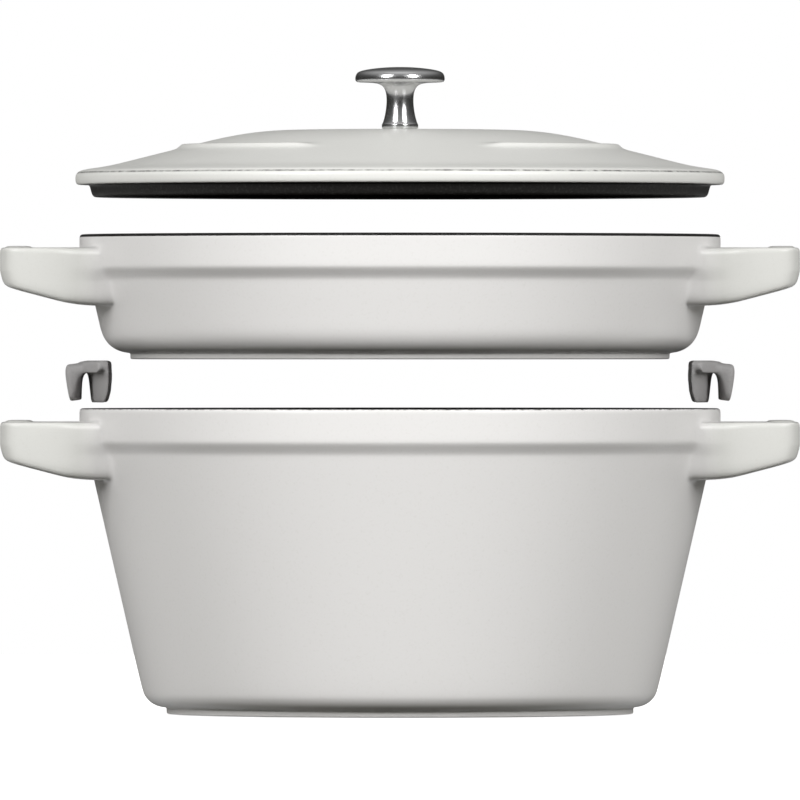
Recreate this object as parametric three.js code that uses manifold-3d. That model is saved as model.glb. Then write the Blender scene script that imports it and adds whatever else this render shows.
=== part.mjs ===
// Stackable enamelled cast-iron cookware: a deep round pot, a shallow pan that nests in its mouth on two
// silicone rim clips, and one lid with a steel knob that fits them both. The set is shown taken apart.
// Millimetres, +Z up, the pot's base is centred on the origin and the handles lie along X.
import * as THREE from 'three';
import { mergeVertices } from 'three/addons/utils/BufferGeometryUtils.js';
import Module from 'manifold-3d';

const wasm = await Module();
wasm.setup();

// Faceting
const roundSteps = 52;
const smallRoundSteps = 28;
const clipRoundSteps = 120;

// Largest share of a side that one round may take, and the distance under which corners are welded
const roundShare = 0.49;
const weldDistance = 1e-4;

// Gap that is left where one piece seats on another
const seatGap = 0.3;

// How far each loose piece is lifted off its seat
const clipLift = 14.2;
const panLift = 35.5;
const lidLift = 19;

// Rim band of the pot and the pan: both have the same mouth, so that one lid fits both
const rimRadius = 125.25;
const rimWall = 3;
const rimRound = 1.2;
const bandDepth = 13;
const shoulderDepth = 17;
const shoulderRound = 3;

// Deep pot
const potHeight = 119.3;
const potShoulderInset = 3.2;
const potDraft = 0.229;
const potWall = 3.6;
const potFloor = 5;
const potCornerRound = 9;
const potFootRadius = 91.3;
const potFootHeight = 2.6;

// Shallow pan
const panHeight = 48.8;
const panShoulderInset = 3.6;
const panDraft = 0.235;
const panWall = 3.6;
const panFloor = 5;
const panCornerRound = 11;
const panFootRadius = 105.4;
const panFootHeight = 2.5;

// Edge round of a foot, and the round where an inner wall meets its floor
const footRound = 0.8;
const innerCornerRound = 8;

// Loop handles: depths are measured down from the rim, reach is measured out from the axis
const handleReach = 155.5;
const handleTopDepth = 5.3;
const handleRootDepth = 27.5;
const handleTipDepth = 19.8;
const handleTipDraft = 1.6;
const handleHalfWidth = 43;
const handleArm = 11.5;
const handleBar = 13.5;
const handleCornerRound = 11;
const handleInnerRound = 7;
const handleRootFlare = 7;
const handleRootRound = 10;
const handleEdge = 2;

// Raised grip pad on top of a handle's outer bar
const padInset = 3;
const padWidth = 9;
const padHalfLength = 26;
const padHeight = 0.7;
const padRound = 3;

// Lid
const lidRadius = 126.85;
const lidEdge = 5.8;
const lidEdgeRound = 2.6;
const lidRise = 21.5;
const lidFlange = 13.4;
const lidConeFoot = 7.4;
const lidConeSlope = 0.2515;
const lidCrownRound = 130;
const lidWall = 4;
const lidHole = 3.3;
const lidRingDepth = 4.9;
const lidRingWidth = 4.5;
const lidRingDraft = 1.3;
const lidRingRound = 1.5;
const lidRingClearance = 0.95;

// Raised terraces on the lid's flank, one over each handle
const ribInnerRadius = 79.5;
const ribWidth = 5.9;
const ribFoot = 1.8;
const ribHalfAngle = 65 * Math.PI / 180;

// Knob, turned from solid steel
const knobHeight = 24.2;
const knobCapRadius = 17.5;
const knobCapHeight = 5.9;
const knobCapEdge = 4;
const knobCapRound = 1.6;
const knobCapUnderRound = 0.6;
const knobCrownRound = 30;
const knobNeckRadius = 5.2;
const knobNeckLow = 7.3;
const knobNeckHigh = 14.5;
const knobNeckRound = 9;
const knobCollarRadius = 7.1;
const knobCollarHeight = 2.2;
const knobCollarRound = 1;
const knobBore = 3;
const knobBoreDepth = 14;

// Screw and washer that hold the knob from inside the lid
const screwClearance = 0.3;
const screwReach = 12;
const screwHeadRadius = 5.2;
const screwHeadHeight = 3.2;
const screwHeadRound = 1.2;
const screwTipRound = 0.6;
const screwSlotWidth = 1.4;
const screwSlotDepth = 1.5;
const washerRadius = 8;
const washerHeight = 1.2;

// Silicone rim clips
const clipBridge = 4.3;
const clipBridgeFall = 0.6;
const clipClearance = 0.4;
const clipTab = 1.1;
const clipTabDepth = 12.2;
const clipTabLean = 1.2;
const clipTabHalfLength = 45;
const clipTabTaper = 5.5;
const clipLeg = 4.7;
const clipLegTip = 2;
const clipLegShoulder = 2;
const clipLegDepth = 11.5;
const clipLegHalfLength = 26;
const clipRound = 1;
const clipCornerRound = 6;

// Materials
const enamel = new THREE.MeshStandardMaterial({ color: '#d8d6d1', roughness: 0.28, metalness: 0 });
const steel = new THREE.MeshStandardMaterial({ color: '#cfd0d2', roughness: 0.1, metalness: 1 });
const silicone = new THREE.MeshStandardMaterial({ color: '#8a8785', roughness: 0.75, metalness: 0 });

// Outline through corners given as [x, y, round, steps]: a corner with a round becomes an arc
function roundedOutline(corners, closed) {
  const points = [];
  const place = (index) => new THREE.Vector2(...corners[(index + corners.length) % corners.length]);
  corners.forEach(([, , round, steps = 2], index) => {
    const corner = place(index);
    const atEnd = !closed && (index === 0 || index === corners.length - 1);
    if (!round || atEnd) {
      points.push(corner);
      return;
    }
    const before = place(index - 1).sub(corner);
    const after = place(index + 1).sub(corner);
    const halfAngle = before.angleTo(after) / 2;
    const wanted = round / Math.tan(halfAngle);
    const reach = Math.min(wanted, roundShare * before.length(), roundShare * after.length());
    const start = before.setLength(reach);
    const end = after.setLength(reach);
    const centre = start.clone().add(end).setLength(reach / Math.cos(halfAngle));
    const from = start.clone().sub(centre);
    const to = end.clone().sub(centre);
    const turn = Math.atan2(from.cross(to), from.dot(to));
    for (let step = 0; step <= steps; step += 1) {
      const spoke = from.clone().rotateAround(new THREE.Vector2(), turn * step / steps);
      points.push(spoke.add(centre).add(corner));
    }
  });
  return points;
}

// Closed solid from a three.js geometry
function solidOf(geometry) {
  const bare = geometry.index ? geometry.toNonIndexed() : geometry.clone();
  bare.deleteAttribute('normal');
  bare.deleteAttribute('uv');
  const merged = mergeVertices(bare, weldDistance);
  const kept = [];
  const index = merged.index.array;
  for (let corner = 0; corner < index.length; corner += 3) {
    const [a, b, c] = index.slice(corner, corner + 3);
    if (a !== b && b !== c && c !== a) {
      kept.push(a, b, c);
    }
  }
  const vertProperties = new Float32Array(merged.attributes.position.array);
  const triVerts = new Uint32Array(kept);
  return new wasm.Manifold(new wasm.Mesh({ numProp: 3, vertProperties, triVerts }));
}

// Solid of revolution about Z; the outline runs in radius and height, anticlockwise
function revolved(corners, closed, steps) {
  const outline = roundedOutline(corners, closed);
  if (closed) {
    outline.push(outline[0].clone());
  }
  const geometry = new THREE.LatheGeometry(outline, steps);
  geometry.rotateX(Math.PI / 2);
  return solidOf(geometry);
}

// Prism with its outline in X and Y, from height low to height high
function prism(outline, low, high) {
  const geometry = new THREE.ExtrudeGeometry(new THREE.Shape(outline), { depth: high - low, bevelEnabled: false });
  geometry.translate(0, 0, low);
  return geometry;
}

// Named mesh of a finished solid
function meshOf(name, solid, material) {
  const { vertProperties, triVerts } = solid.getMesh();
  const geometry = new THREE.BufferGeometry();
  geometry.setAttribute('position', new THREE.BufferAttribute(vertProperties, 3));
  geometry.setIndex(new THREE.BufferAttribute(triVerts, 1));
  geometry.computeVertexNormals();
  const mesh = new THREE.Mesh(geometry, material);
  mesh.name = name;
  return mesh;
}

// Loop handle on the +X side: a U in plan, flat on top, whose underside rises from the root to the tip
function handleGeometry(vesselHeight) {
  const inner = handleReach - handleBar;
  const openHalf = handleHalfWidth - handleArm;
  const rootX = rimRadius - 2 * handleRootFlare;
  const half = [
    [rootX, handleHalfWidth + handleRootFlare],
    [rimRadius, handleHalfWidth, handleRootRound, 3],
    [handleReach, handleHalfWidth, handleCornerRound, 4],
  ];
  const innerHalf = [
    [inner, openHalf, handleInnerRound, 3],
    [rimRadius + handleRootFlare / 2, openHalf, handleRootRound, 2],
    [rootX, openHalf - handleRootFlare],
  ];
  const mirrored = (corners) => corners.map(([x, y, ...rest]) => [x, -y, ...rest]);
  const plan = [...mirrored(half), ...half.slice().reverse()];
  const opening = [...innerHalf.slice().reverse(), ...mirrored(innerHalf)];
  const shape = new THREE.Shape(roundedOutline([...plan, ...opening], true));
  const tall = handleRootDepth - handleTopDepth;
  const geometry = new THREE.ExtrudeGeometry(shape, {
    depth: tall - 2 * handleEdge,
    bevelThickness: handleEdge,
    bevelSize: handleEdge,
    bevelOffset: -handleEdge,
    bevelSegments: 2,
  });
  geometry.translate(0, 0, handleEdge);
  const position = geometry.attributes.position;
  for (let index = 0; index < position.count; index += 1) {
    const x = position.getX(index);
    const below = 1 - position.getZ(index) / tall;
    const out = THREE.MathUtils.clamp((x - rimRadius) / (handleReach - rimRadius), 0, 1);
    position.setX(index, x - handleTipDraft * out * below);
    position.setZ(index, tall * (1 - below) + (handleRootDepth - handleTipDepth) * out * below);
  }
  geometry.translate(0, 0, vesselHeight - handleRootDepth);
  return geometry;
}

// Grip pad on the handle's outer bar, sunk into the bar by its own height
function padGeometry(vesselHeight) {
  const outer = handleReach - padInset;
  const inner = outer - padWidth;
  const top = vesselHeight - handleTopDepth;
  const outline = roundedOutline([
    [inner, -padHalfLength, padRound, 3],
    [outer, -padHalfLength, padRound, 3],
    [outer, padHalfLength, padRound, 3],
    [inner, padHalfLength, padRound, 3],
  ], true);
  return prism(outline, top - padHeight, top + padHeight);
}

// Cast vessel: foot, drafted wall, soft shoulder under a rim band, and a loop handle on each side
function castVessel({ height, shoulderInset, draft, wall, floor, cornerRound, footRadius, footHeight }) {
  const shoulderZ = height - shoulderDepth;
  const bandZ = height - bandDepth;
  const bodyRadius = rimRadius - shoulderInset;
  const mouth = rimRadius - rimWall;
  const wallRadius = (z) => bodyRadius - draft * (shoulderZ - z);
  const shell = revolved([
    [0, 0],
    [footRadius, 0, footRound, 1],
    [footRadius, footHeight],
    [wallRadius(footHeight), footHeight, cornerRound, 5],
    [bodyRadius, shoulderZ, shoulderRound, 2],
    [rimRadius, bandZ, shoulderRound, 2],
    [rimRadius, height, rimRound, 2],
    [mouth, height, rimRound, 2],
    [mouth, bandZ, shoulderRound, 1],
    [bodyRadius - wall, shoulderZ, shoulderRound, 1],
    [wallRadius(floor) - wall, floor, innerCornerRound, 4],
    [0, floor],
  ], false, roundSteps);
  // The handles are cut back to the middle of the wall, so that they never show inside the vessel
  const core = revolved([
    [0, 0],
    [wallRadius(0) - wall / 2, 0],
    [bodyRadius - wall / 2, shoulderZ],
    [rimRadius - rimWall / 2, bandZ],
    [rimRadius - rimWall / 2, height],
    [0, height],
  ], false, roundSteps);
  let vessel = shell;
  for (const turn of [0, Math.PI]) {
    const handle = solidOf(handleGeometry(height).rotateZ(turn)).subtract(core);
    const pad = solidOf(padGeometry(height).rotateZ(turn));
    vessel = vessel.add(handle).add(pad);
  }
  return vessel;
}

// Height of the lid's cone over its flange's underside
function lidConeZ(radius) {
  return lidConeFoot + (lidRadius - lidFlange - radius) * lidConeSlope;
}

// Lid: flat crown, conical flank with two terraces, flange over the rim and a ring that drops into the mouth
function lidSolid() {
  const flangeInner = lidRadius - lidFlange;
  const crownRadius = flangeInner - (lidRise - lidConeFoot) / lidConeSlope;
  const ringRadius = rimRadius - rimWall - lidRingClearance;
  const ringInner = ringRadius - lidRingWidth;
  const under = lidConeFoot - lidWall;
  let lid = revolved([
    [lidHole, lidRise - lidWall],
    [crownRadius, lidRise - lidWall, lidCrownRound, 3],
    [flangeInner, under, lidRingRound, 1],
    [ringInner, under, lidRingRound, 2],
    [ringInner, -lidRingDepth, lidRingRound, 2],
    [ringRadius - lidRingDraft, -lidRingDepth, lidRingRound, 2],
    [ringRadius, 0],
    [lidRadius, 0, footRound, 1],
    [lidRadius, lidEdge, lidEdgeRound, 3],
    [flangeInner, lidConeFoot, lidEdgeRound, 1],
    [crownRadius, lidRise, lidCrownRound, 4],
    [lidHole, lidRise],
  ], true, roundSteps);
  const ribTop = lidConeZ(ribInnerRadius);
  const ribOuter = ribInnerRadius + ribWidth;
  const ring = revolved([
    [ribInnerRadius - ribFoot, ribTop - ribFoot],
    [ribOuter + ribFoot, lidConeZ(ribOuter + ribFoot) - ribFoot],
    [ribOuter + ribFoot, lidConeZ(ribOuter + ribFoot)],
    [ribOuter, ribTop],
    [ribInnerRadius - ribFoot, ribTop],
  ], true, roundSteps);
  for (const middle of [0, Math.PI]) {
    const sector = new THREE.Shape();
    sector.moveTo(0, 0);
    sector.absarc(0, 0, 2 * lidRadius, middle - ribHalfAngle, middle + ribHalfAngle, false);
    const wedge = new THREE.ExtrudeGeometry(sector, { depth: 2 * lidRise, bevelEnabled: false, curveSegments: 8 });
    lid = lid.add(ring.intersect(solidOf(wedge)));
  }
  return lid;
}

// Knob: collar, waisted neck and a low domed cap, with a blind bore for the screw
function knobSolid() {
  const capZ = knobHeight - knobCapHeight;
  return revolved([
    [0, knobBoreDepth],
    [knobBore, knobBoreDepth],
    [knobBore, 0],
    [knobCollarRadius, 0],
    [knobCollarRadius, knobCollarHeight, knobCollarRound, 2],
    [knobNeckRadius, knobNeckLow, knobNeckRound, 2],
    [knobNeckRadius, knobNeckHigh, knobNeckRound, 2],
    [knobCollarRadius, capZ],
    [knobCapRadius, capZ, knobCapUnderRound, 1],
    [knobCapRadius, capZ + knobCapEdge, knobCapRound, 3],
    [knobNeckRadius, knobHeight, knobCrownRound, 2],
    [0, knobHeight],
  ], false, smallRoundSteps);
}

// Slotted screw, built from its head's underside upward: the head hangs below zero
function screwSolid() {
  const shankTop = washerHeight + lidWall + 3 * seatGap + screwReach;
  const shank = knobBore - screwClearance;
  const screw = revolved([
    [0, -screwHeadHeight],
    [screwHeadRadius, -screwHeadHeight, screwHeadRound, 2],
    [screwHeadRadius, 0],
    [shank, 0],
    [shank, shankTop, screwTipRound, 1],
    [0, shankTop],
  ], false, smallRoundSteps);
  const slot = new THREE.BoxGeometry(3 * screwHeadRadius, screwSlotWidth, 2 * screwSlotDepth);
  slot.translate(0, 0, -screwHeadHeight);
  return screw.subtract(solidOf(slot));
}

// Washer under the screw's head
function washerSolid() {
  return revolved([
    [knobBore, 0],
    [washerRadius, 0],
    [washerRadius, washerHeight],
    [knobBore, washerHeight],
  ], true, smallRoundSteps);
}

// Prism with its outline in Y and Z that covers the +X side
function sideCut(corners) {
  const geometry = prism(roundedOutline(corners, true), 0, 2 * rimRadius);
  geometry.rotateX(Math.PI / 2);
  geometry.rotateZ(Math.PI / 2);
  return solidOf(geometry);
}

// Rim clip on the +X side: its slot's ceiling is at zero, a bridge covers the rim, a broad tab hangs inside
// the mouth and a short leg hangs in the handle's opening
function clipSolid() {
  const tabOuter = rimRadius - rimWall - clipClearance;
  const tabInner = tabOuter - clipTab;
  const legInner = rimRadius + clipClearance;
  const legOuter = legInner + clipLeg;
  const bridgeEdge = clipBridge - clipBridgeFall;
  const bridgeAndTab = revolved([
    [tabInner, clipBridge, clipRound, 2],
    [tabInner, 0],
    [tabInner - clipTabLean, -clipTabDepth],
    [tabOuter - clipTabLean, -clipTabDepth],
    [tabOuter, 0],
    [legInner, 0],
    [legInner, bridgeEdge],
  ], true, clipRoundSteps);
  const leg = revolved([
    [tabOuter, clipBridge - clipRound],
    [tabOuter, 0],
    [legInner, 0],
    [legInner, -clipLegDepth],
    [legInner + clipLegTip, -clipLegDepth, clipRound, 2],
    [legOuter, clipLegShoulder, clipRound, 2],
    [legOuter, bridgeEdge - clipBridgeFall, clipRound, 2],
    [legInner, bridgeEdge],
  ], true, clipRoundSteps);
  const tabEnd = clipTabHalfLength - clipTabTaper;
  const broad = sideCut([
    [-tabEnd, -clipTabDepth, clipCornerRound, 4],
    [tabEnd, -clipTabDepth, clipCornerRound, 4],
    [clipTabHalfLength, clipBridge + seatGap, 2 * clipRound, 2],
    [-clipTabHalfLength, clipBridge + seatGap, 2 * clipRound, 2],
  ]);
  const narrow = sideCut([
    [-clipLegHalfLength, -clipLegDepth, clipCornerRound, 4],
    [clipLegHalfLength, -clipLegDepth, clipCornerRound, 4],
    [clipLegHalfLength, 2 * clipBridge],
    [-clipLegHalfLength, 2 * clipBridge],
  ]);
  return bridgeAndTab.intersect(broad).add(leg.intersect(narrow));
}

const pot = {
  height: potHeight,
  shoulderInset: potShoulderInset,
  draft: potDraft,
  wall: potWall,
  floor: potFloor,
  cornerRound: potCornerRound,
  footRadius: potFootRadius,
  footHeight: potFootHeight,
};
const pan = {
  height: panHeight,
  shoulderInset: panShoulderInset,
  draft: panDraft,
  wall: panWall,
  floor: panFloor,
  cornerRound: panCornerRound,
  footRadius: panFootRadius,
  footHeight: panFootHeight,
};

const cookware = new THREE.Group();
cookware.add(meshOf('dutch_oven_pot', castVessel(pot), enamel));

// The clips push down over the rim, in the openings of the two handles
const clipSeat = potHeight + seatGap;
for (const [name, turn] of [['right_rim_clip', 0], ['left_rim_clip', Math.PI]]) {
  const clip = meshOf(name, clipSolid(), silicone);
  clip.rotation.z = turn;
  clip.position.z = clipSeat + clipLift;
  cookware.add(clip);
}

// The pan stands with its handle roots on the clips' bridges
const panSeat = clipSeat + clipBridge + seatGap + handleRootDepth - panHeight;
const panGroup = new THREE.Group();
panGroup.position.z = panSeat + panLift;
panGroup.add(meshOf('braiser_pan', castVessel(pan), enamel));
cookware.add(panGroup);

// The lid lies on the pan's rim, and carries its knob, screw and washer
const lidGroup = new THREE.Group();
lidGroup.position.z = panHeight + seatGap + lidLift;
lidGroup.add(meshOf('lid', lidSolid(), enamel));
panGroup.add(lidGroup);

const knob = meshOf('lid_knob', knobSolid(), steel);
knob.position.z = lidRise + seatGap;
lidGroup.add(knob);

const washer = meshOf('knob_washer', washerSolid(), steel);
washer.position.z = lidRise - lidWall - seatGap - washerHeight;
lidGroup.add(washer);

const screw = meshOf('knob_screw', screwSolid(), steel);
screw.position.z = lidRise - lidWall - 2 * seatGap - washerHeight;
lidGroup.add(screw);

export default cookware;
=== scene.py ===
import math

import bmesh
import bpy
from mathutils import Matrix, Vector


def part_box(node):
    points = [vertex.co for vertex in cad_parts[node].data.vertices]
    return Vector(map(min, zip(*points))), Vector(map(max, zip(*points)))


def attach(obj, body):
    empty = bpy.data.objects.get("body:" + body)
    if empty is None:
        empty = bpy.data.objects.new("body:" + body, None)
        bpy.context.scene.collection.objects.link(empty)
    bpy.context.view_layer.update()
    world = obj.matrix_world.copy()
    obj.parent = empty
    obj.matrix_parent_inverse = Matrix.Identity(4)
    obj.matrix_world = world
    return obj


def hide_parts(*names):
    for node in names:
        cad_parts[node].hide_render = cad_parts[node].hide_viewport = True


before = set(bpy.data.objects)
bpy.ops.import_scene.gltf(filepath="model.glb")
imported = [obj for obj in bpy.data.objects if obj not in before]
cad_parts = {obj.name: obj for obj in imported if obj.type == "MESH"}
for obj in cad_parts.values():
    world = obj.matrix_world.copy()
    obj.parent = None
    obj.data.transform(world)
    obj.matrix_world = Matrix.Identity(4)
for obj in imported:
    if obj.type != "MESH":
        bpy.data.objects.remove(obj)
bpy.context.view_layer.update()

# Studio: the set hangs over a plain pale floor, in front of white. A tall softbox and a low wide fill stand
# on either side of the camera, a weak lamp hangs above, and two behind light the far side.
# The camera stands far back, level with the pan's foot, so that the rims look almost like lines.
camera_distance = 8.0
camera_height = 0.140
aim_height = 0.1225
view_width = 0.3124
film_width = 36
lamp_aim = Vector((0, 0, 0.13))
bpy.ops.object.select_all(action="DESELECT")
bpy.ops.object.camera_add(location=(0, -camera_distance, camera_height))
camera = bpy.context.object
camera.name = "studio_camera"
camera.data.sensor_width = film_width
camera.data.lens = film_width * camera_distance / view_width
aim = Vector((0, 0, aim_height)) - camera.location
camera.rotation_euler = aim.to_track_quat("-Z", "Y").to_euler()
bpy.context.scene.camera = camera
bpy.context.scene.view_settings.view_transform = "Standard"


def softbox(name, azimuth, elevation, distance, width, height, power, mirrored=True):
    """Rectangular lamp that faces the set; the azimuth runs from the camera's side towards +X."""
    turn = math.radians(azimuth)
    lift = math.radians(elevation)
    out = Vector((math.sin(turn) * math.cos(lift), -math.cos(turn) * math.cos(lift), math.sin(lift)))
    bpy.ops.object.select_all(action="DESELECT")
    bpy.ops.object.light_add(type="AREA", location=lamp_aim + out * distance)
    lamp = bpy.context.object
    lamp.name = name
    lamp.rotation_euler = out.to_track_quat("Z", "Y").to_euler()
    lamp.data.shape = "RECTANGLE"
    lamp.data.size = width
    lamp.data.size_y = height
    lamp.data.energy = power
    lamp.visible_camera = False
    lamp.visible_glossy = mirrored


for side, way in (("left", -1), ("right", 1)):
    softbox("key_" + side, azimuth=36 * way, elevation=27, distance=2.6, width=0.76, height=1.07, power=30)
for side, way in (("left", -1), ("right", 1)):
    softbox("fill_" + side, azimuth=44 * way, elevation=13, distance=2.6, width=1.2, height=0.3, power=14.5,
            mirrored=False)
softbox("above", azimuth=0, elevation=80, distance=1.6, width=1.2, height=0.8, power=0.6)
for side, way in (("left", -1), ("right", 1)):
    softbox("behind_" + side, azimuth=135 * way, elevation=12, distance=1.9, width=0.8, height=0.8, power=8,
            mirrored=False)

# Room light: grey above, warm and brightest just over the horizon, and nearly black far below. Glossy
# surfaces mirror a room that is dark at the horizon with a bright band below it, which outlines them, and
# the camera sees white where it looks past the floor.
room = bpy.context.scene.world or bpy.data.worlds.new("studio_room")
bpy.context.scene.world = room
room.use_nodes = True
room_nodes = room.node_tree.nodes
room_links = room.node_tree.links
room_nodes.clear()
room_place = room_nodes.new("ShaderNodeTexCoord")
room_split = room_nodes.new("ShaderNodeSeparateXYZ")
room_links.new(room_place.outputs["Generated"], room_split.inputs[0])
# The height of a direction runs from -1 to 1, and is shifted to a share from 0 to 1
room_shift = room_nodes.new("ShaderNodeMath")
room_shift.operation = "MULTIPLY_ADD"
room_shift.inputs[1].default_value = 0.5
room_shift.inputs[2].default_value = 0.5
room_links.new(room_split.outputs["Z"], room_shift.inputs[0])


def room_shell(lowest, highest, between):
    """Light of the room from straight down to straight up, with colours between at shares of the height."""
    ramp = room_nodes.new("ShaderNodeValToRGB")
    stops = ramp.color_ramp.elements
    stops[0].color = (*lowest, 1)
    stops[1].color = (*highest, 1)
    for share, colour in between:
        stops.new(share).color = (*colour, 1)
    room_links.new(room_shift.outputs[0], ramp.inputs["Fac"])
    shell = room_nodes.new("ShaderNodeBackground")
    room_links.new(ramp.outputs["Color"], shell.inputs["Color"])
    return shell


room_soft = room_shell(
    lowest=(0.010, 0.009, 0.004),
    highest=(0.14, 0.14, 0.14),
    between=(
        (0.32, (0.020, 0.018, 0.010)),
        (0.45, (0.22, 0.216, 0.20)),
        (0.50, (0.33, 0.327, 0.295)),
        (0.60, (0.36, 0.357, 0.33)),
    ),
)
mirrored_band = (0.8, 0.8, 0.8)
mirrored_horizon = (0.035, 0.035, 0.033)
room_mirrored = room_shell(
    lowest=(0.010, 0.009, 0.006),
    highest=(0.50, 0.50, 0.50),
    between=(
        (0.14, (0.012, 0.011, 0.007)),
        (0.22, mirrored_band),
        (0.34, mirrored_band),
        (0.43, mirrored_horizon),
        (0.55, mirrored_horizon),
        (0.70, (0.10, 0.10, 0.10)),
    ),
)
room_white = room_nodes.new("ShaderNodeBackground")
room_white.inputs["Color"].default_value = (1, 1, 1, 1)
room_path = room_nodes.new("ShaderNodeLightPath")
room_gloss_mix = room_nodes.new("ShaderNodeMixShader")
room_links.new(room_path.outputs["Is Glossy Ray"], room_gloss_mix.inputs[0])
room_links.new(room_soft.outputs[0], room_gloss_mix.inputs[1])
room_links.new(room_mirrored.outputs[0], room_gloss_mix.inputs[2])
room_mix = room_nodes.new("ShaderNodeMixShader")
room_links.new(room_path.outputs["Is Camera Ray"], room_mix.inputs[0])
room_links.new(room_gloss_mix.outputs[0], room_mix.inputs[1])
room_links.new(room_white.outputs[0], room_mix.inputs[2])
room_out = room_nodes.new("ShaderNodeOutputWorld")
room_links.new(room_mix.outputs[0], room_out.inputs["Surface"])

# Pale floor: it shows to the camera but throws no light back, so that the undersides stay dark
floor_radius = 1.6
floor_drop = 0.0003
bpy.ops.object.select_all(action="DESELECT")
bpy.ops.mesh.primitive_circle_add(vertices=64, radius=floor_radius, fill_type="NGON")
floor = bpy.context.object
floor.name = "studio_floor"
bpy.ops.object.mode_set(mode="EDIT")
bpy.ops.mesh.select_all(action="SELECT")
bpy.ops.transform.translate(value=(0, 0, -floor_drop))
bpy.ops.object.mode_set(mode="OBJECT")
floor.visible_diffuse = False
floor.visible_glossy = False
floor_paint = bpy.data.materials.new("pale_floor")
floor_paint.use_nodes = True
floor_shader = floor_paint.node_tree.nodes["Principled BSDF"]
floor_shader.inputs["Base Color"].default_value = (0.90, 0.90, 0.89, 1)
floor_shader.inputs["Roughness"].default_value = 0.9
floor_shader.inputs["Specular IOR Level"].default_value = 0
floor_shader.inputs["Emission Color"].default_value = (1, 1, 1, 1)
floor_shader.inputs["Emission Strength"].default_value = 0.8
floor.data.materials.append(floor_paint)

# Deep pot: one iron casting with a low foot, a drafted wall, a soft shoulder under the rim band and a loop
# handle cast on at each side. Pale enamel is fused on outside and matte black enamel inside, over the rim.
# A quarter of it is pulled up ring by ring, the handle is pulled out of its wall, and it is mirrored twice.
mm = 0.001
tolerance = 0.01
ring_steps = 96
smooth_levels = 2
rim_radius = 125.25
rim_wall = 3.0
rim_corner = 0.45
rim_corner_drop = 0.16
rim_side_drop = 1.0
rim_crest = 0.05
band_depth = 13.0
shoulder_depth = 17.0
inner_corner = 8.0
disc_shares = (0.9, 0.5, 0.12, 0)
handle_top_depth = 5.3
handle_root_depth = 27.5
handle_tip_depth = 19.8
handle_reach = 155.5
handle_bar = 13.5
handle_bar_places = (26.0, 13.0, 0.0)
handle_middle = 37.25
handle_half_arm = 5.75
handle_crease = 0.22
handle_tip_lean = 1.3
handle_corner_draw = (2.4, 2.0)
arm_reaches = (134.0, 142.0, 149.0)
root_angles = (15.0, 22.5)
root_columns = ((0, 35.2), (35.2, 43.0), (43.0, 60))
root_fillet = 2.4
root_flare = 0.85
root_reach = 127.5
pad_half_length = 26.0
pad_inset = 1.6
pad_edge = 0.7
pad_height = 0.7
vessel_colour = (0.80, 0.789, 0.783)
# Painted shade: the handles' arms are painted greyer than the wall, for the weaker light out at the sides
handle_shade_colour = (0.68, 0.68, 0.655)
handle_shade_blend = 8.0
iron_colour = (0.03, 0.029, 0.027)
thin_line_half_width = 0.5


def start_ring(name, radius, height, steps=ring_steps, quarter=True):
    """Adds a circle of vertices, or its +X +Y quarter, as a new piece and goes into edit mode."""
    bpy.ops.object.select_all(action="DESELECT")
    bpy.ops.mesh.primitive_circle_add(vertices=steps, radius=radius * mm)
    piece = bpy.context.object
    piece.name = name
    piece.data.name = name
    bpy.ops.object.mode_set(mode="EDIT")
    bpy.ops.mesh.select_all(action="SELECT")
    bpy.ops.transform.translate(value=(0, 0, height * mm))
    if quarter:
        pick(piece, "VERT", lambda place: min(place.x, place.y) < -tolerance)
        bpy.ops.mesh.delete(type="VERT")
    bpy.ops.mesh.select_mode(type="EDGE")
    bpy.ops.mesh.select_all(action="SELECT")
    return piece


def pick(piece, kind, test):
    """Selects the vertices, edges or faces whose middle, in millimetres, passes the test."""
    bpy.ops.mesh.select_mode(type=kind)
    bpy.ops.mesh.select_all(action="DESELECT")
    cage = bmesh.from_edit_mesh(piece.data)
    groups = {"VERT": cage.verts, "EDGE": cage.edges, "FACE": cage.faces}
    for element in groups[kind]:
        if kind == "VERT":
            middle = element.co
        elif kind == "EDGE":
            middle = (element.verts[0].co + element.verts[1].co) / 2
        else:
            middle = element.calc_center_median()
        if test(middle / mm):
            element.select_set(True)
    cage.select_flush_mode()
    bmesh.update_edit_mesh(piece.data)


def pull_rings(start, rows):
    """Extrudes the selected ring through rows of radius and height, and leaves the last one selected."""
    radius, height = start
    for next_radius, next_height in rows:
        lift = (next_height - height) * mm
        bpy.ops.mesh.extrude_edges_move(TRANSFORM_OT_translate={"value": (0, 0, lift)})
        grow = next_radius / radius
        bpy.ops.transform.resize(value=(grow, grow, 1), center_override=(0, 0, 0))
        radius, height = next_radius, next_height


def pull_faces(step):
    """Extrudes the selected faces by a step in millimetres."""
    bpy.ops.mesh.extrude_region_move(TRANSFORM_OT_translate={"value": [part * mm for part in step]})


def lay_flat(axis, place):
    """Moves what is selected onto the plane at a place on the X axis (0) or the Y axis (1)."""
    scale = [1, 1, 1]
    scale[axis] = 0
    centre = [0, 0, 0]
    centre[axis] = place * mm
    bpy.ops.transform.resize(value=scale, center_override=centre)


def arc_rows(centre, radius, from_angle, to_angle, steps):
    """Rows of radius and height along an arc in the profile, in degrees from the outward direction."""
    rows = []
    for step in range(steps + 1):
        angle = math.radians(from_angle + (to_angle - from_angle) * step / steps)
        rows.append((centre[0] + radius * math.cos(angle), centre[1] + radius * math.sin(angle)))
    return rows


def radius_of(place):
    return math.hypot(place.x, place.y)


def angle_of(place):
    return math.degrees(math.atan2(place.y, place.x))


def weld():
    """Joins the corners that lie together."""
    bpy.ops.mesh.select_all(action="SELECT")
    bpy.ops.mesh.remove_doubles(threshold=tolerance * mm)


def face_out():
    """Turns every face outward."""
    bpy.ops.mesh.select_all(action="SELECT")
    bpy.ops.mesh.normals_make_consistent(inside=False)


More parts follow.
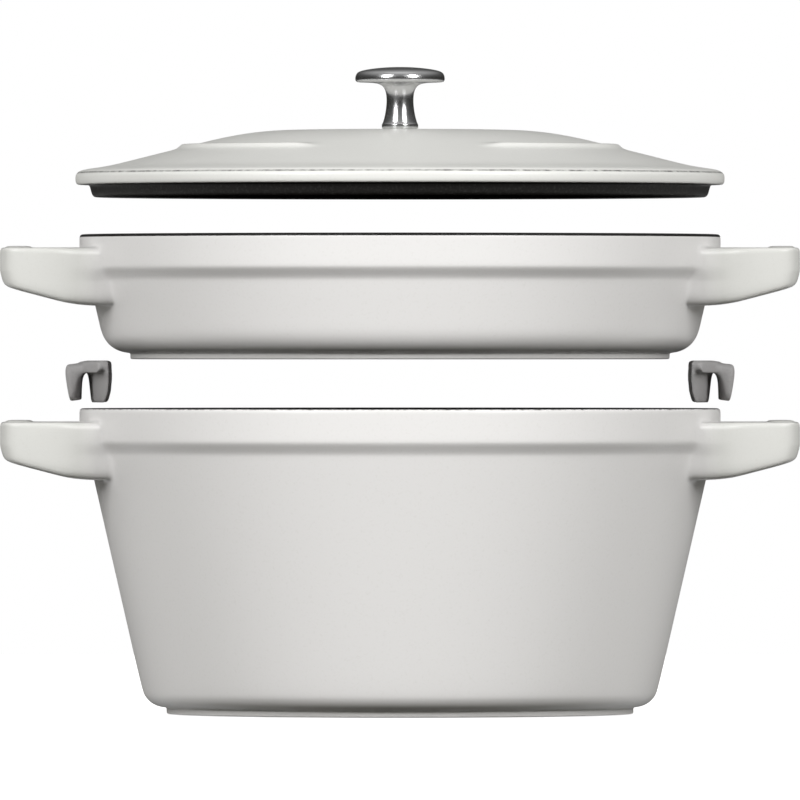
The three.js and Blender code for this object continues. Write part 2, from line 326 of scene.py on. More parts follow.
def add_modifier(piece, kind, **settings):
    """Adds a modifier, sets it up and applies it."""
    bpy.context.view_layer.objects.active = piece
    piece.select_set(True)
    bpy.ops.object.modifier_add(type=kind)
    modifier = piece.modifiers[-1]
    for setting, value in settings.items():
        setattr(modifier, setting, value)
    bpy.ops.object.modifier_apply(modifier=modifier.name)


def smooth(piece):
    """Rounds a closed piece by subdivision."""
    add_modifier(piece, "SUBSURF", levels=smooth_levels, render_levels=smooth_levels)
    bpy.ops.object.shade_smooth()


def mirror_and_smooth(piece, axes):
    """Mirrors a quarter or a half into the whole piece, closes it and rounds it."""
    bpy.ops.object.mode_set(mode="OBJECT")
    add_modifier(piece, "MIRROR", use_axis=axes, merge_threshold=2 * tolerance * mm)
    bpy.ops.object.mode_set(mode="EDIT")
    weld()
    face_out()
    bpy.ops.object.mode_set(mode="OBJECT")
    smooth(piece)


def crease_handle(piece):
    """Creases the long edges of the handle, which keep a small round."""
    sharp_angle = math.radians(50)
    level_step = 3.2 * mm
    free_from = (root_reach - 0.5) * mm
    bpy.ops.mesh.select_mode(type="EDGE")
    bpy.ops.mesh.select_all(action="DESELECT")
    cage = bmesh.from_edit_mesh(piece.data)
    for edge in cage.edges:
        start, end = (vertex.co for vertex in edge.verts)
        free = min(start.x, end.x) > free_from and len(edge.link_faces) == 2
        if free and edge.calc_face_angle() > sharp_angle and abs(start.z - end.z) < level_step:
            edge.select_set(True)
    bmesh.update_edit_mesh(piece.data)
    bpy.ops.transform.edge_crease(value=handle_crease)


def pull_handle(piece, top, on_wall):
    """Pulls one arm out of the wall, then half of the outer bar, and raises the grip pad on the bar."""
    low = top - handle_root_depth
    high = top - handle_top_depth
    first, last = root_angles
    pull = 4.0

    def on_root(place):
        return on_wall(place) and low < place.z < high and first < angle_of(place) < last

    pick(piece, "FACE", on_root)
    bpy.ops.mesh.extrude_region_shrink_fatten(TRANSFORM_OT_shrink_fatten={"value": root_fillet * mm})
    # Each step is the reach, the half width and the middle of the arm there
    steps = [(root_reach, handle_half_arm + root_flare, handle_middle + root_flare)]
    steps += [(reach, handle_half_arm, handle_middle) for reach in (*arm_reaches, handle_reach)]
    half, middle = None, None
    tall = 1.0
    for reach, next_half, next_middle in steps:
        pull_faces((pull, 0, 0))
        lay_flat(0, reach)
        if half is None:
            # The three columns of the root follow the round wall, and are set upright here
            for column, (near, far) in zip((-1, 0, 1), root_columns):
                pick(piece, "VERT", lambda place: abs(place.x - reach) < tolerance and near < place.y < far)
                lay_flat(1, next_middle + column * next_half)
            pick(piece, "FACE", lambda place: abs(place.x - reach) < tolerance)
        else:
            narrow = next_half / half
            bpy.ops.transform.resize(value=(1, narrow, 1), center_override=(0, middle * mm, 0))
            bpy.ops.transform.translate(value=(0, (next_middle - middle) * mm, 0))
        out = max(0.0, (reach - rim_radius) / (handle_reach - rim_radius))
        depth = handle_root_depth - (handle_root_depth - handle_tip_depth) * out
        next_tall = (depth - handle_top_depth) / (handle_root_depth - handle_top_depth)
        bpy.ops.transform.resize(value=(1, 1, next_tall / tall), center_override=(0, 0, high * mm))
        half, middle, tall = next_half, next_middle, next_tall
    # The bar grows from the arm's inner side, up to the middle plane, where it stays open for the mirror
    bar_inner = handle_reach - handle_bar

    def on_inner_side(place):
        return place.x > bar_inner and place.z < high - 0.3 and place.y < handle_middle - 4.5

    pick(piece, "FACE", on_inner_side)
    for place_on_bar in handle_bar_places:
        pull_faces((0, -pull, 0))
        lay_flat(1, place_on_bar)
    bpy.ops.mesh.delete(type="FACE")
    crease_handle(piece)
    # The tip leans in towards its underside, and its corner is drawn in
    lower_tip = low + 10.5
    pick(piece, "VERT", lambda place: place.x > handle_reach - 1 and place.z < lower_tip)
    bpy.ops.transform.translate(value=(-handle_tip_lean * mm, 0, 0))
    pick(piece, "VERT", lambda place: place.x > handle_reach - 2 and place.y > handle_middle + 4)
    draw_x, draw_y = handle_corner_draw
    bpy.ops.transform.translate(value=(-draw_x * mm, -draw_y * mm, 0))

    def on_pad(place):
        return place.x > bar_inner and abs(place.z - high) < 0.2 and place.y < pad_half_length

    pick(piece, "FACE", on_pad)
    bpy.ops.mesh.inset(thickness=pad_inset * mm, use_boundary=False)
    bpy.ops.mesh.inset(thickness=pad_edge * mm, depth=pad_height * mm, use_boundary=False)


def cast_vessel(name, base, height, shoulder_inset, draft, wall, floor_depth, corner, foot, foot_height,
                coat_edge):
    """Pot or pan that stands at the height base; every other size is in millimetres from its own foot."""
    top = base + height
    body_radius = rim_radius - shoulder_inset
    shoulder_z = height - shoulder_depth
    band_z = height - band_depth
    mouth = rim_radius - rim_wall
    slope = math.degrees(math.atan(draft))

    def wall_radius(z):
        return body_radius - draft * (shoulder_z - z)

    # Outside, from the foot up to the rim
    corner_reach = corner * math.tan(math.radians(90 - slope) / 2)
    corner_centre = (wall_radius(foot_height) - corner_reach, foot_height + corner)
    rows = [(foot - 0.15, 0.15), (foot, 0.8), (foot - 0.1, foot_height - 0.5), (foot + 0.2, foot_height)]
    rows += arc_rows(corner_centre, corner, -84, -slope, 4)
    handle_low = height - handle_root_depth
    corner_top = rows[-1][1]
    for share in (0.3, 0.6, 0.85):
        z = corner_top + (handle_low - corner_top) * share
        rows.append((wall_radius(z), z))
    rows += [(wall_radius(z), z) for z in (handle_low, shoulder_z - 2.0, shoulder_z - 0.4)]
    rows += [(body_radius + 0.5 * shoulder_inset, shoulder_z + 1.8), (rim_radius - 0.12, band_z - 0.3)]
    rows += [(rim_radius, band_z + 0.9), (rim_radius, band_z + 4), (rim_radius, height - handle_top_depth)]
    rows += [(rim_radius, height - 2.6), (rim_radius, height - rim_side_drop)]
    # Over the rim, down the inside and across the floor
    rows += [(rim_radius - rim_corner, height - rim_corner_drop)]
    rows += [(rim_radius - rim_wall / 2, height + rim_crest)]
    rows += [(mouth + rim_corner, height - rim_corner_drop), (mouth, height - rim_side_drop)]
    rows += [(mouth, height - 3), (mouth, band_z + 2), (mouth - 0.2, band_z)]
    rows += [(body_radius - wall, shoulder_z)]
    inner_reach = inner_corner * math.tan(math.radians(90 - slope) / 2)
    inner_foot = wall_radius(floor_depth) - wall
    for share in (0.25, 0.55, 0.85):
        z = shoulder_z + (floor_depth + inner_corner - shoulder_z) * share
        rows.append((wall_radius(z) - wall, z))
    rows += arc_rows((inner_foot - inner_reach, floor_depth + inner_corner), inner_corner, -slope, -90, 3)
    rows += [((inner_foot - inner_reach) * share, floor_depth) for share in disc_shares]
    rows = [(radius, base + z) for radius, z in rows]
    start = (foot - 0.9, base)
    piece = start_ring(name, *start)
    pull_rings(start, rows)
    pick(piece, "EDGE", lambda place: abs(place.z - base) < tolerance)
    pull_rings(start, [(share * foot, base) for share in disc_shares])
    weld()
    face_out()

    def on_wall(place):
        z = place.z - base
        shoulder_share = (z - shoulder_z) / (shoulder_depth - band_depth)
        skin = wall_radius(z) if z < shoulder_z else body_radius + shoulder_inset * shoulder_share
        return radius_of(place) > min(skin, rim_radius) - rim_wall / 2

    pull_handle(piece, top, on_wall)

    # The black enamel runs from the rim's crest over the whole inside
    def on_inside(place):
        z = place.z - base
        crest = z > height - coat_edge
        hollow = z > floor_depth - 0.3 and radius_of(place) < min(wall_radius(z) - wall / 2, rim_radius - 1)
        return crest or hollow

    rim_line = {"Height": (top - coat_edge) * mm, "Half Width": thin_line_half_width * mm, "Break": 0.42}
    # The pale enamel turns greyer out on the handles as painted shade
    piece.data.materials.append(pale_enamel(name + "_enamel", vessel_colour, rim_line, handle_shade_colour))
    piece.data.materials.append(black_enamel)
    pick(piece, "FACE", on_inside)
    piece.active_material_index = 1
    bpy.ops.object.material_slot_assign()
    mirror_and_smooth(piece, (True, True, False))
    return piece


def new_group(name, inputs, outputs):
    """Empty shader group with number sockets; each input comes with its first value."""
    group = bpy.data.node_groups.new(name, "ShaderNodeTree")
    for socket, first_value in inputs:
        new_socket = group.interface.new_socket(name=socket, in_out="INPUT", socket_type="NodeSocketFloat")
        new_socket.default_value = first_value
    for socket in outputs:
        group.interface.new_socket(name=socket, in_out="OUTPUT", socket_type="NodeSocketFloat")
    return group


def place_group(nodes, group, **values):
    """Puts a shader group into a material and sets its inputs."""
    placed = nodes.new("ShaderNodeGroup")
    placed.node_tree = group
    for socket, value in values.items():
        placed.inputs[socket].default_value = value
    return placed


# Grain of a cast and coated surface: a soft mottle, fine specks and an uneven skin, on Object coordinates
grain_inputs = (("Mottle", 30.0), ("Speck", 900.0), ("Share", 0.5))
grain = new_group("cast_grain", grain_inputs, ("Tone", "Specks", "Skin"))
grain_in = grain.nodes.new("NodeGroupInput")
grain_out = grain.nodes.new("NodeGroupOutput")
grain_place = grain.nodes.new("ShaderNodeTexCoord")
mottle = grain.nodes.new("ShaderNodeTexNoise")
mottle.inputs["Detail"].default_value = 4
speck = grain.nodes.new("ShaderNodeTexNoise")
speck.inputs["Detail"].default_value = 2
speck_cut = grain.nodes.new("ShaderNodeMapRange")
speck_cut.inputs["From Max"].default_value = 0.78
grain.links.new(grain_place.outputs["Object"], mottle.inputs["Vector"])
grain.links.new(grain_place.outputs["Object"], speck.inputs["Vector"])
grain.links.new(grain_in.outputs["Mottle"], mottle.inputs["Scale"])
grain.links.new(grain_in.outputs["Speck"], speck.inputs["Scale"])
grain.links.new(grain_in.outputs["Share"], speck_cut.inputs["From Min"])
grain.links.new(speck.outputs["Fac"], speck_cut.inputs["Value"])
grain.links.new(mottle.outputs["Fac"], grain_out.inputs["Tone"])
grain.links.new(speck_cut.outputs["Result"], grain_out.inputs["Specks"])
grain.links.new(speck.outputs["Fac"], grain_out.inputs["Skin"])

# Line where the coat is thin on a sharp edge, so that the dark iron shows through in a broken streak
line_inputs = (("Height", 0.1), ("Half Width", 0.0004), ("Break", 0.5))
thin_line = new_group("thin_coat_line", line_inputs, ("Line",))
line_in = thin_line.nodes.new("NodeGroupInput")
line_out = thin_line.nodes.new("NodeGroupOutput")
line_place = thin_line.nodes.new("ShaderNodeTexCoord")
line_split = thin_line.nodes.new("ShaderNodeSeparateXYZ")
line_above = thin_line.nodes.new("ShaderNodeMath")
line_above.operation = "SUBTRACT"
line_off = thin_line.nodes.new("ShaderNodeMath")
line_off.operation = "ABSOLUTE"
line_band = thin_line.nodes.new("ShaderNodeMapRange")
line_band.inputs["To Min"].default_value = 1
line_band.inputs["To Max"].default_value = 0
line_noise = thin_line.nodes.new("ShaderNodeTexNoise")
line_noise.inputs["Scale"].default_value = 420
line_noise.inputs["Detail"].default_value = 6
line_gaps = thin_line.nodes.new("ShaderNodeMapRange")
line_gaps.inputs["From Max"].default_value = 0.66
line_mask = thin_line.nodes.new("ShaderNodeMath")
line_mask.operation = "MULTIPLY"
thin_line.links.new(line_place.outputs["Object"], line_split.inputs[0])
thin_line.links.new(line_split.outputs["Z"], line_above.inputs[0])
thin_line.links.new(line_in.outputs["Height"], line_above.inputs[1])
thin_line.links.new(line_above.outputs[0], line_off.inputs[0])
thin_line.links.new(line_off.outputs[0], line_band.inputs["Value"])
thin_line.links.new(line_in.outputs["Half Width"], line_band.inputs["From Max"])
thin_line.links.new(line_place.outputs["Object"], line_noise.inputs["Vector"])
thin_line.links.new(line_noise.outputs["Fac"], line_gaps.inputs["Value"])
thin_line.links.new(line_in.outputs["Break"], line_gaps.inputs["From Min"])
thin_line.links.new(line_band.outputs["Result"], line_mask.inputs[0])
thin_line.links.new(line_gaps.outputs["Result"], line_mask.inputs[1])
thin_line.links.new(line_mask.outputs[0], line_out.inputs["Line"])

# Share of the handles' painted shade, a greyer tone that stands in for the weaker light out at the handles:
# none at the rim, all on the arms
grip = new_group("painted_handle_shade", (), ("Share",))
grip_out = grip.nodes.new("NodeGroupOutput")
grip_place = grip.nodes.new("ShaderNodeTexCoord")
grip_flat = grip.nodes.new("ShaderNodeVectorMath")
grip_flat.operation = "MULTIPLY"
grip_flat.inputs[1].default_value = (1, 1, 0)
grip_radius = grip.nodes.new("ShaderNodeVectorMath")
grip_radius.operation = "LENGTH"
handle_shade_share = grip.nodes.new("ShaderNodeMapRange")
handle_shade_share.inputs["From Min"].default_value = rim_radius * mm
handle_shade_share.inputs["From Max"].default_value = (rim_radius + handle_shade_blend) * mm
grip.links.new(grip_place.outputs["Object"], grip_flat.inputs[0])
grip.links.new(grip_flat.outputs[0], grip_radius.inputs[0])
grip.links.new(grip_radius.outputs["Value"], handle_shade_share.inputs["Value"])
grip.links.new(handle_shade_share.outputs["Result"], grip_out.inputs["Share"])


def colour_mix(nodes, first, second):
    """Mixes two colours by a factor."""
    mix = nodes.new("ShaderNodeMix")
    mix.data_type = "RGBA"
    mix.inputs["A"].default_value = (*first, 1)
    mix.inputs["B"].default_value = (*second, 1)
    return mix


def grained_surface(name, colour, speck_colour, speck_amount, roughness, bump, line=None, shaded_colour=None,
                    gloss_level=0.5, **grain_values):
    """Surface with specks in its colour, a soft change of gloss and a slightly uneven skin."""
    skin_depth = 0.0002
    material = bpy.data.materials.new(name)
    material.use_nodes = True
    nodes = material.node_tree.nodes
    links = material.node_tree.links
    shader = nodes["Principled BSDF"]
    speckle = place_group(nodes, grain, **grain_values)
    amount = nodes.new("ShaderNodeMath")
    amount.operation = "MULTIPLY"
    amount.inputs[1].default_value = speck_amount
    links.new(speckle.outputs["Specks"], amount.inputs[0])
    tint = colour_mix(nodes, colour, speck_colour)
    links.new(amount.outputs[0], tint.inputs["Factor"])
    # Painted shade: out on the handles the colour turns greyer
    if shaded_colour:
        shade_share = place_group(nodes, grip)
        tone = colour_mix(nodes, colour, shaded_colour)
        links.new(shade_share.outputs["Share"], tone.inputs["Factor"])
        links.new(tone.outputs["Result"], tint.inputs["A"])
    if line:
        streak = place_group(nodes, thin_line, **line)
        iron = colour_mix(nodes, colour, iron_colour)
        links.new(streak.outputs["Line"], iron.inputs["Factor"])
        links.new(tint.outputs["Result"], iron.inputs["A"])
        tint = iron
    links.new(tint.outputs["Result"], shader.inputs["Base Color"])
    gloss = nodes.new("ShaderNodeMapRange")
    gloss.inputs["To Min"].default_value = roughness[0]
    gloss.inputs["To Max"].default_value = roughness[1]
    links.new(speckle.outputs["Tone"], gloss.inputs["Value"])
    links.new(gloss.outputs["Result"], shader.inputs["Roughness"])
    skin = nodes.new("ShaderNodeBump")
    skin.inputs["Strength"].default_value = bump
    skin.inputs["Distance"].default_value = skin_depth
    links.new(speckle.outputs["Skin"], skin.inputs["Height"])
    links.new(skin.outputs["Normal"], shader.inputs["Normal"])
    shader.inputs["Specular IOR Level"].default_value = gloss_level
    return material


def pale_enamel(name, colour, line, shaded_colour=None):
    """Pale grey-white coat of one casting, with its own thin edge line, and painted shade on its handles
    when a shaded colour is given.
    """
    return grained_surface(
        name, colour, speck_colour=(0.42, 0.40, 0.34), speck_amount=0.08, roughness=(0.29, 0.36),
        bump=0.006, line=line, shaded_colour=shaded_colour, gloss_level=0.4, Mottle=45.0, Speck=950.0,
        Share=0.55)


black_enamel = grained_surface(
    "black_enamel", (0.011, 0.0102, 0.0092), speck_colour=(0.05, 0.05, 0.048), speck_amount=0.6,
    roughness=(0.38, 0.55), bump=0.25, gloss_level=0.25, Mottle=60.0, Speck=1100.0, Share=0.5)

pot = cast_vessel("pot_casting", base=0.0, height=119.3, shoulder_inset=3.2, draft=0.229, wall=3.6,
                  floor_depth=5.0, corner=9.0, foot=91.3, foot_height=2.6, coat_edge=0.2)
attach(pot, "pot")
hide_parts("dutch_oven_pot")

# Shallow pan: the same rim, shoulder and handles as the pot's on a low wide body, cast in one piece and
# enamelled the same way. It is used by itself, or stands in the pot's mouth on the two clips.
pan_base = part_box("braiser_pan")[0][2] / mm
pan = cast_vessel("pan_casting", base=pan_base, height=48.8, shoulder_inset=3.6, draft=0.235, wall=3.6,
                  floor_depth=5.0, corner=11.0, foot=105.4, foot_height=2.5, coat_edge=0.7)
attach(pan, "pan")
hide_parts("braiser_pan")

# Rim clips: two soft clips moulded from grey silicone. A bridge lies over the pot's rim, a broad thin tab
# hangs inside the mouth, and a short wedge-shaped leg hangs outside, in the opening of the handle.
# Half of one is pulled round its section as an arc of the rim, mirrored, and turned for the other side.
clip_steps = 120
clip_tab_angle = 21.1
clip_end_angle = 16.5
clip_leg_angle = 12.0
clip_bridge = 4.3
tab_depth = 12.2
tab_tip = 120.55
tab_end_draws = ((-3.0, 1.6), (-7.0, 2.4), (-11.0, 4.0))
tab_end_turn = 0.35
leg_inner = 125.65
leg_reaches = (128.0, 130.35)
leg_root_fall = 0.25
leg_drops = ((2.4, 0.92), (4.0, 0.86), (2.9, 0.84), (0.8, 0.83))
leg_end_flare = ((124.4, -2), (125.8, -6), (126.8, -9))
leg_end_draws = ((-6, 0.97), (-10, 0.92), (-11, 0.88))
clip_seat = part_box("right_rim_clip")[1][2] / mm - clip_bridge


def rim_clip(name):
    """Clip on the +X side; heights in the section are measured from the ceiling of its slot."""
    section = [(120.95, -9.0), (121.45, -4.0), (121.85, -1.6), (122.4, -0.45), (123.5, 0.0), (124.8, -0.1)]
    section += [(leg_inner, -1.0), (leg_inner, 3.2), (125.2, 3.75), (123.8, 4.0), (122.2, 4.25)]
    section += [(121.1, clip_bridge), (120.7, 3.8), (120.7, 2.2), (120.5, -1.0), (120.1, -5.0)]
    section += [(119.75, -9.0), (tab_tip - 1.0, -tab_depth), (tab_tip, -tab_depth)]
    start = (tab_tip, clip_seat - tab_depth)
    piece = start_ring(name, *start, steps=clip_steps)
    pick(piece, "VERT", lambda place: angle_of(place) > clip_tab_angle)
    bpy.ops.mesh.delete(type="VERT")
    bpy.ops.mesh.select_mode(type="EDGE")
    bpy.ops.mesh.select_all(action="SELECT")
    pull_rings(start, [(radius, clip_seat + z) for radius, z in section])
    weld()

    # The end of the tab is closed between its two sides
    def on_end(place):
        lower_edge = place.z - clip_seat < 0.15 - tab_depth
        outer_edge = radius_of(place) > leg_inner - 0.05
        return angle_of(place) > clip_tab_angle - 0.3 and not lower_edge and not outer_edge

    pick(piece, "EDGE", on_end)
    bpy.ops.mesh.bridge_edge_loops()
    face_out()

    # The leg grows out of the bridge's outer edge, and then down
    def on_leg_root(place):
        edge = radius_of(place) > leg_inner - 0.25 and 0.3 < place.z - clip_seat < 3.3
        return edge and angle_of(place) < clip_leg_angle

    pick(piece, "FACE", on_leg_root)
    for reach in leg_reaches:
        pull_faces((2.0, 0, 0))
        lay_flat(0, reach)
        bpy.ops.transform.translate(value=(0, 0, -leg_root_fall * mm))

    def under_leg(place):
        low_side = radius_of(place) > leg_inner + 0.65 and place.z - clip_seat < 0.45
        return low_side and angle_of(place) < clip_leg_angle

    pick(piece, "FACE", under_leg)
    for drop, thin in leg_drops:
        pull_faces((0, 0, -drop))
        bpy.ops.transform.resize(value=(thin, 1, 1), center_override=(leg_inner * mm, 0, 0))
    # The leg's inner side follows the round rim, and at the ends it flares towards the tip
    rim_side = [(column, leg_inner * math.cos(math.radians(column)), -2) for column in (0, 3, 6, 9)]
    rim_side += [(clip_leg_angle, inner, depth) for inner, depth in leg_end_flare]
    for column, inner, depth in rim_side:

        def on_inner_side(place):
            below = place.z - clip_seat < depth and abs(angle_of(place) - column) < 1.5
            return below and 122.5 < place.x < leg_inner + 0.3

        pick(piece, "VERT", on_inner_side)
        lay_flat(0, inner)
    for depth, short in leg_end_draws:
        pick(piece, "VERT", lambda place: place.x > 124.5 and place.z - clip_seat < depth)
        bpy.ops.transform.resize(value=(1, short, 1), center_override=(0, 0, 0))
    pick(piece, "FACE", lambda place: abs(place.y) < tolerance)
    bpy.ops.mesh.delete(type="FACE")
    # The ends of the tab slope in towards its lower edge
    for depth, draw in tab_end_draws:
        pick(piece, "VERT", lambda place: angle_of(place) > clip_end_angle and place.z - clip_seat < depth)
        bpy.ops.transform.translate(value=(tab_end_turn * draw * mm, -draw * mm, 0))
    mirror_and_smooth(piece, (False, True, False))
    return piece


silicone = grained_surface(
    "grey_silicone", (0.36, 0.352, 0.354), speck_colour=(0.27, 0.265, 0.27), speck_amount=0.4,
    roughness=(0.62, 0.74), bump=0.2, Mottle=80.0, Speck=1400.0, Share=0.45)
right_clip = rim_clip("right_clip_moulding")
right_clip.data.materials.append(silicone)
bpy.ops.object.select_all(action="DESELECT")
right_clip.select_set(True)
bpy.context.view_layer.objects.active = right_clip
bpy.ops.object.duplicate()
left_clip = bpy.context.object
left_clip.name = "left_clip_moulding"
left_clip.data.name = "left_clip_moulding"
bpy.ops.object.mode_set(mode="EDIT")
bpy.ops.mesh.select_all(action="SELECT")
bpy.ops.transform.rotate(value=math.pi, orient_axis="Z", center_override=(0, 0, 0))
bpy.ops.object.mode_set(mode="OBJECT")
for clip, side in ((right_clip, "right"), (left_clip, "left")):
    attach(clip, side + "_clip")
    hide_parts(side + "_rim_clip")

# Lid: an iron casting that fits the pot and the pan. Its flange lies on the rim, a ring under it drops into
# the mouth, and a low terrace is cast on the flank over each handle. It is pale enamelled on top, and the
# ring and the hollow side are black.
lid_radius = 126.85
lid_rise = 21.5
lid_wall = 4.0
lid_hole = 3.3
lid_colour = (0.80, 0.80, 0.775)
lid_line_height = 4.7
cone_radius = 113.45
cone_foot = 7.4
cone_slope = 0.2515
crown_start = 41.0
crown_end = 73.6
terrace_inner = 79.5
terrace_middle = 82.5
terrace_outer = 85.4
terrace_angle = 64.0
terrace_crease = 0.35
ring_depth = 4.9
lid_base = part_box("lid")[0][2] / mm + ring_depth


def cone_height(radius):
    """Height of the lid's flank over the underside of its flange, with a soft crown."""
    if radius >= crown_end:
        return cone_foot + (cone_radius - radius) * cone_slope
    if radius <= crown_start:
        return lid_rise
    share = (radius - crown_start) / (crown_end - crown_start)
    return lid_rise - cone_slope * (crown_end - crown_start) * share * share / 2


# Over the crown and the flank, round the flange and the ring, and back across the hollow side to the hole
lid_rows = [(radius, cone_height(radius)) for radius in (7, 16, 28, 40, 48, 56, 64, 72, 77.5)]
lid_rows += [(radius, cone_height(radius)) for radius in (terrace_inner, terrace_middle, terrace_outer)]
lid_rows += [(radius, cone_height(radius)) for radius in (87.0, 90, 97, 104, 109.5)]
lid_rows += [(113.0, 7.6), (116.5, 6.95), (121.0, 6.35), (124.2, 5.8), (125.9, 5.0), (126.75, 3.9)]
lid_rows += [(lid_radius, 2.6), (126.8, 1.3), (126.4, 0.25), (125.6, 0.0), (123.5, 0.0), (121.6, -0.1)]
lid_rows += [(121.2, -0.6), (120.75, -2.4), (120.3, -4.0), (119.5, -4.8), (118.4, -ring_depth)]
lid_rows += [(117.3, -4.6), (116.85, -3.6), (116.8, -1.0), (116.7, 1.8), (115.7, 3.2), (113.4, 3.5)]
lid_rows += [(radius, cone_height(radius) - lid_wall) for radius in (108, 98, 84, 72, 60, 48, 38, 22, 9)]
lid_rows += [(lid_hole, lid_rise - lid_wall), (lid_hole, lid_rise - 0.3), (lid_hole, lid_rise)]
lid_start = (lid_hole, lid_base + lid_rise)
lid = start_ring("lid_casting", *lid_start)
pull_rings(lid_start, [(radius, lid_base + z) for radius, z in lid_rows])
weld()


def on_terrace(place):
    above = place.z > lid_base + 9
    top_side = place.z > lid_base + cone_height(radius_of(place)) - 1
    return above and top_side and angle_of(place) < terrace_angle


for terrace_radius in (terrace_middle, terrace_outer):
    pick(lid, "VERT", lambda place: on_terrace(place) and abs(radius_of(place) - terrace_radius) < 0.2)
    rise = (terrace_radius - terrace_inner) * cone_slope
    bpy.ops.transform.translate(value=(0, 0, rise * mm))
pick(lid, "EDGE", lambda place: abs(radius_of(place) - terrace_outer) < 0.3 and on_terrace(place))
bpy.ops.transform.edge_crease(value=terrace_crease)
lid_line_place = (lid_base + lid_line_height) * mm
lid_line = {"Height": lid_line_place, "Half Width": thin_line_half_width * mm, "Break": 0.15}
lid.data.materials.append(pale_enamel("lid_casting_enamel", lid_colour, lid_line))
lid.data.materials.append(black_enamel)


def under_lid(place):
    z = place.z - lid_base
    if radius_of(place) > lid_radius - 2.4:
        return z < 0.1
    return z < 0.3 or z < cone_height(radius_of(place)) - lid_wall / 2


pick(lid, "FACE", under_lid)
lid.active_material_index = 1
bpy.ops.object.material_slot_assign()
mirror_and_smooth(lid, (True, True, False))
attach(lid, "lid")
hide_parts("lid")

# Knob: turned from one bar of stainless steel and polished, with a flat domed cap, a waisted neck and a
# narrow collar on the crown of the lid. Its foot has a blind bore for the screw, with a drilled end.
knob_steps = 72
knob_bore = 3.0
knob_bore_depth = 14.0
knob_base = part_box("lid_knob")[0][2] / mm
knob_bore_end = knob_base + knob_bore_depth
knob_profile = [(knob_bore, 0.4), (3.3, 0.0), (6.5, 0.0), (7.05, 0.25), (7.1, 1.0), (7.1, 1.75)]
knob_profile += [(6.95, 2.05), (6.75, 2.3), (6.45, 3.2), (5.85, 5.4), (5.35, 8.5), (5.2, 11.3)]
knob_profile += [(5.35, 13.8), (5.95, 15.8), (7.2, 17.3), (9.6, 17.95), (13.0, 18.15), (16.3, 18.2)]
knob_profile += [(17.2, 18.5), (17.5, 19.2), (17.5, 20.2), (17.2, 21.3), (16.5, 22.2), (15.0, 22.85)]
knob_profile += [(11.5, 23.5), (7.0, 24.0), (3.0, 24.2), (0.0, 24.22)]
knob_start = (knob_bore, knob_bore_end)
knob = start_ring("knob_turning", *knob_start, steps=knob_steps, quarter=False)
pull_rings(knob_start, [(radius, knob_base + z) for radius, z in knob_profile])


def on_bore_end(place):
    return abs(place.z - knob_bore_end) < tolerance and radius_of(place) < knob_bore + 0.2


pick(knob, "EDGE", on_bore_end)
pull_rings(knob_start, [(1.2, knob_bore_end + 0.8), (0.0, knob_bore_end + 1.0)])
weld()
face_out()
bpy.ops.object.mode_set(mode="OBJECT")
smooth(knob)


def steel(name, colour, roughness, bump, **grain_values):
    """Bare stainless steel with faint marks from turning and handling."""
    material = grained_surface(name, colour, speck_colour=(0.5, 0.5, 0.5), speck_amount=0.15,
                               roughness=roughness, bump=bump, **grain_values)
    material.node_tree.nodes["Principled BSDF"].inputs["Metallic"].default_value = 1
    return material


polished_steel = steel("polished_steel", (0.74, 0.74, 0.745), roughness=(0.18, 0.25), bump=0.02,
                       Mottle=220.0, Speck=2600.0, Share=0.6)
knob.data.materials.append(polished_steel)
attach(knob, "lid")
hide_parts("lid_knob")

# Screw and washer: plain stainless steel, put in from inside the lid. The slotted screw passes the washer
# and the lid's hole, and holds the knob from below.
fastener_steps = 48
edge_angle = math.radians(35)
washer_radius = 8.0
washer_edge = 0.3
washer_hole = 3.0
washer_hole_edge = 0.2
washer_height = 1.2
washer_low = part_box("knob_washer")[0][2] / mm
washer_rows = [(washer_hole + washer_hole_edge, 0.0), (washer_radius - washer_edge, 0.0)]
washer_rows += [(washer_radius, washer_edge), (washer_radius, washer_height - washer_edge)]
washer_rows += [(washer_radius - washer_edge, washer_height)]
washer_rows += [(washer_hole + washer_hole_edge, washer_height)]
washer_rows += [(washer_hole, washer_height - washer_hole_edge), (washer_hole, washer_hole_edge)]
washer_start = (washer_hole, washer_low + washer_hole_edge)
washer = start_ring("washer_disc", *washer_start, steps=fastener_steps, quarter=False)
pull_rings(washer_start, [(radius, washer_low + z) for radius, z in washer_rows])
weld()
face_out()
bpy.ops.object.mode_set(mode="OBJECT")
bpy.ops.object.shade_smooth_by_angle(angle=edge_angle)
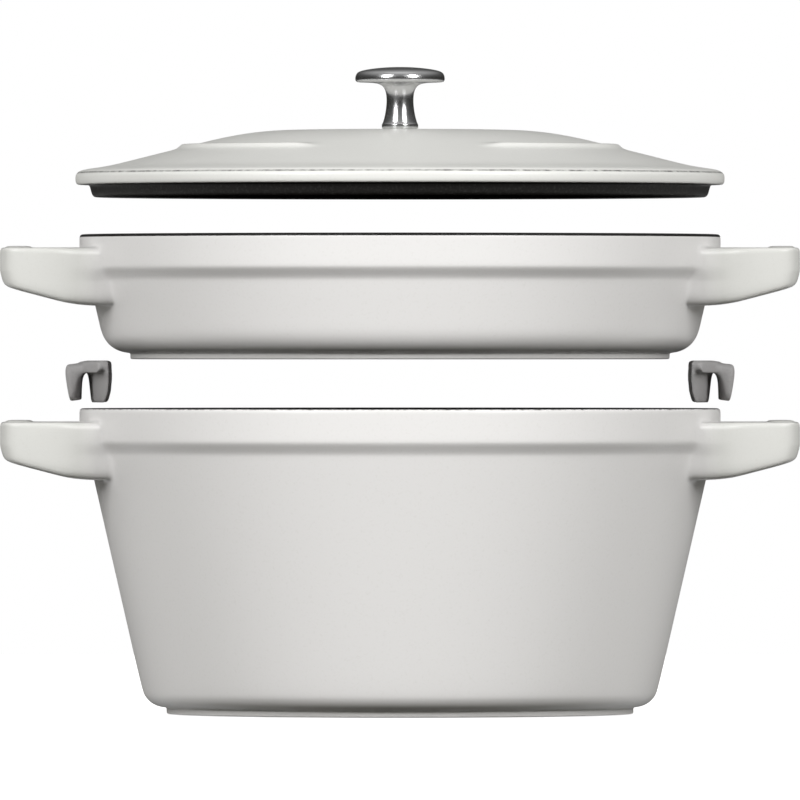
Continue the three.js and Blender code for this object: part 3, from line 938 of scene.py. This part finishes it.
screw_steel = steel("screw_steel", (0.66, 0.66, 0.67), roughness=(0.29, 0.38), bump=0.08,
                    Mottle=300.0, Speck=2000.0, Share=0.5)
washer.data.materials.append(screw_steel)
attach(washer, "lid")
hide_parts("knob_washer")

screw_head = 5.2
screw_head_height = 3.2
screw_shank = 2.7
screw_tip = 0.6
slot_length = 16.0
slot_width = 1.4
slot_depth = 1.5
screw_low, screw_high = (corner[2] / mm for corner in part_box("knob_screw"))
screw_length = screw_high - screw_low
screw_rows = [(4.6, 0.25), (5.1, 0.9), (screw_head, 1.6), (screw_head, screw_head_height - 0.2)]
screw_rows += [(screw_head - 0.2, screw_head_height), (screw_shank, screw_head_height)]
screw_rows += [(screw_shank, screw_head_height + 0.4), (screw_shank, screw_length - screw_tip)]
screw_rows += [(screw_shank - screw_tip, screw_length), (0.0, screw_length)]
screw_start = (3.6, screw_low)
screw = start_ring("slotted_screw", *screw_start, steps=fastener_steps, quarter=False)
pull_rings(screw_start, [(radius, screw_low + z) for radius, z in screw_rows])
pick(screw, "EDGE", lambda place: abs(place.z - screw_low) < tolerance)
bpy.ops.mesh.edge_face_add()
weld()
face_out()
bpy.ops.object.mode_set(mode="OBJECT")
bpy.ops.object.select_all(action="DESELECT")
bpy.ops.mesh.primitive_cube_add(size=1)
slot_cutter = bpy.context.object
bpy.ops.object.mode_set(mode="EDIT")
bpy.ops.mesh.select_all(action="SELECT")
slot_size = (slot_length * mm, slot_width * mm, 2 * slot_depth * mm)
bpy.ops.transform.resize(value=slot_size, center_override=(0, 0, 0))
bpy.ops.transform.translate(value=(0, 0, screw_low * mm))
bpy.ops.object.mode_set(mode="OBJECT")
bpy.ops.object.select_all(action="DESELECT")
add_modifier(screw, "BOOLEAN", object=slot_cutter, operation="DIFFERENCE", solver="EXACT")
bpy.data.objects.remove(slot_cutter)
bpy.ops.object.shade_smooth_by_angle(angle=edge_angle)
screw.data.materials.append(screw_steel)
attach(screw, "lid")
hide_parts("knob_screw")
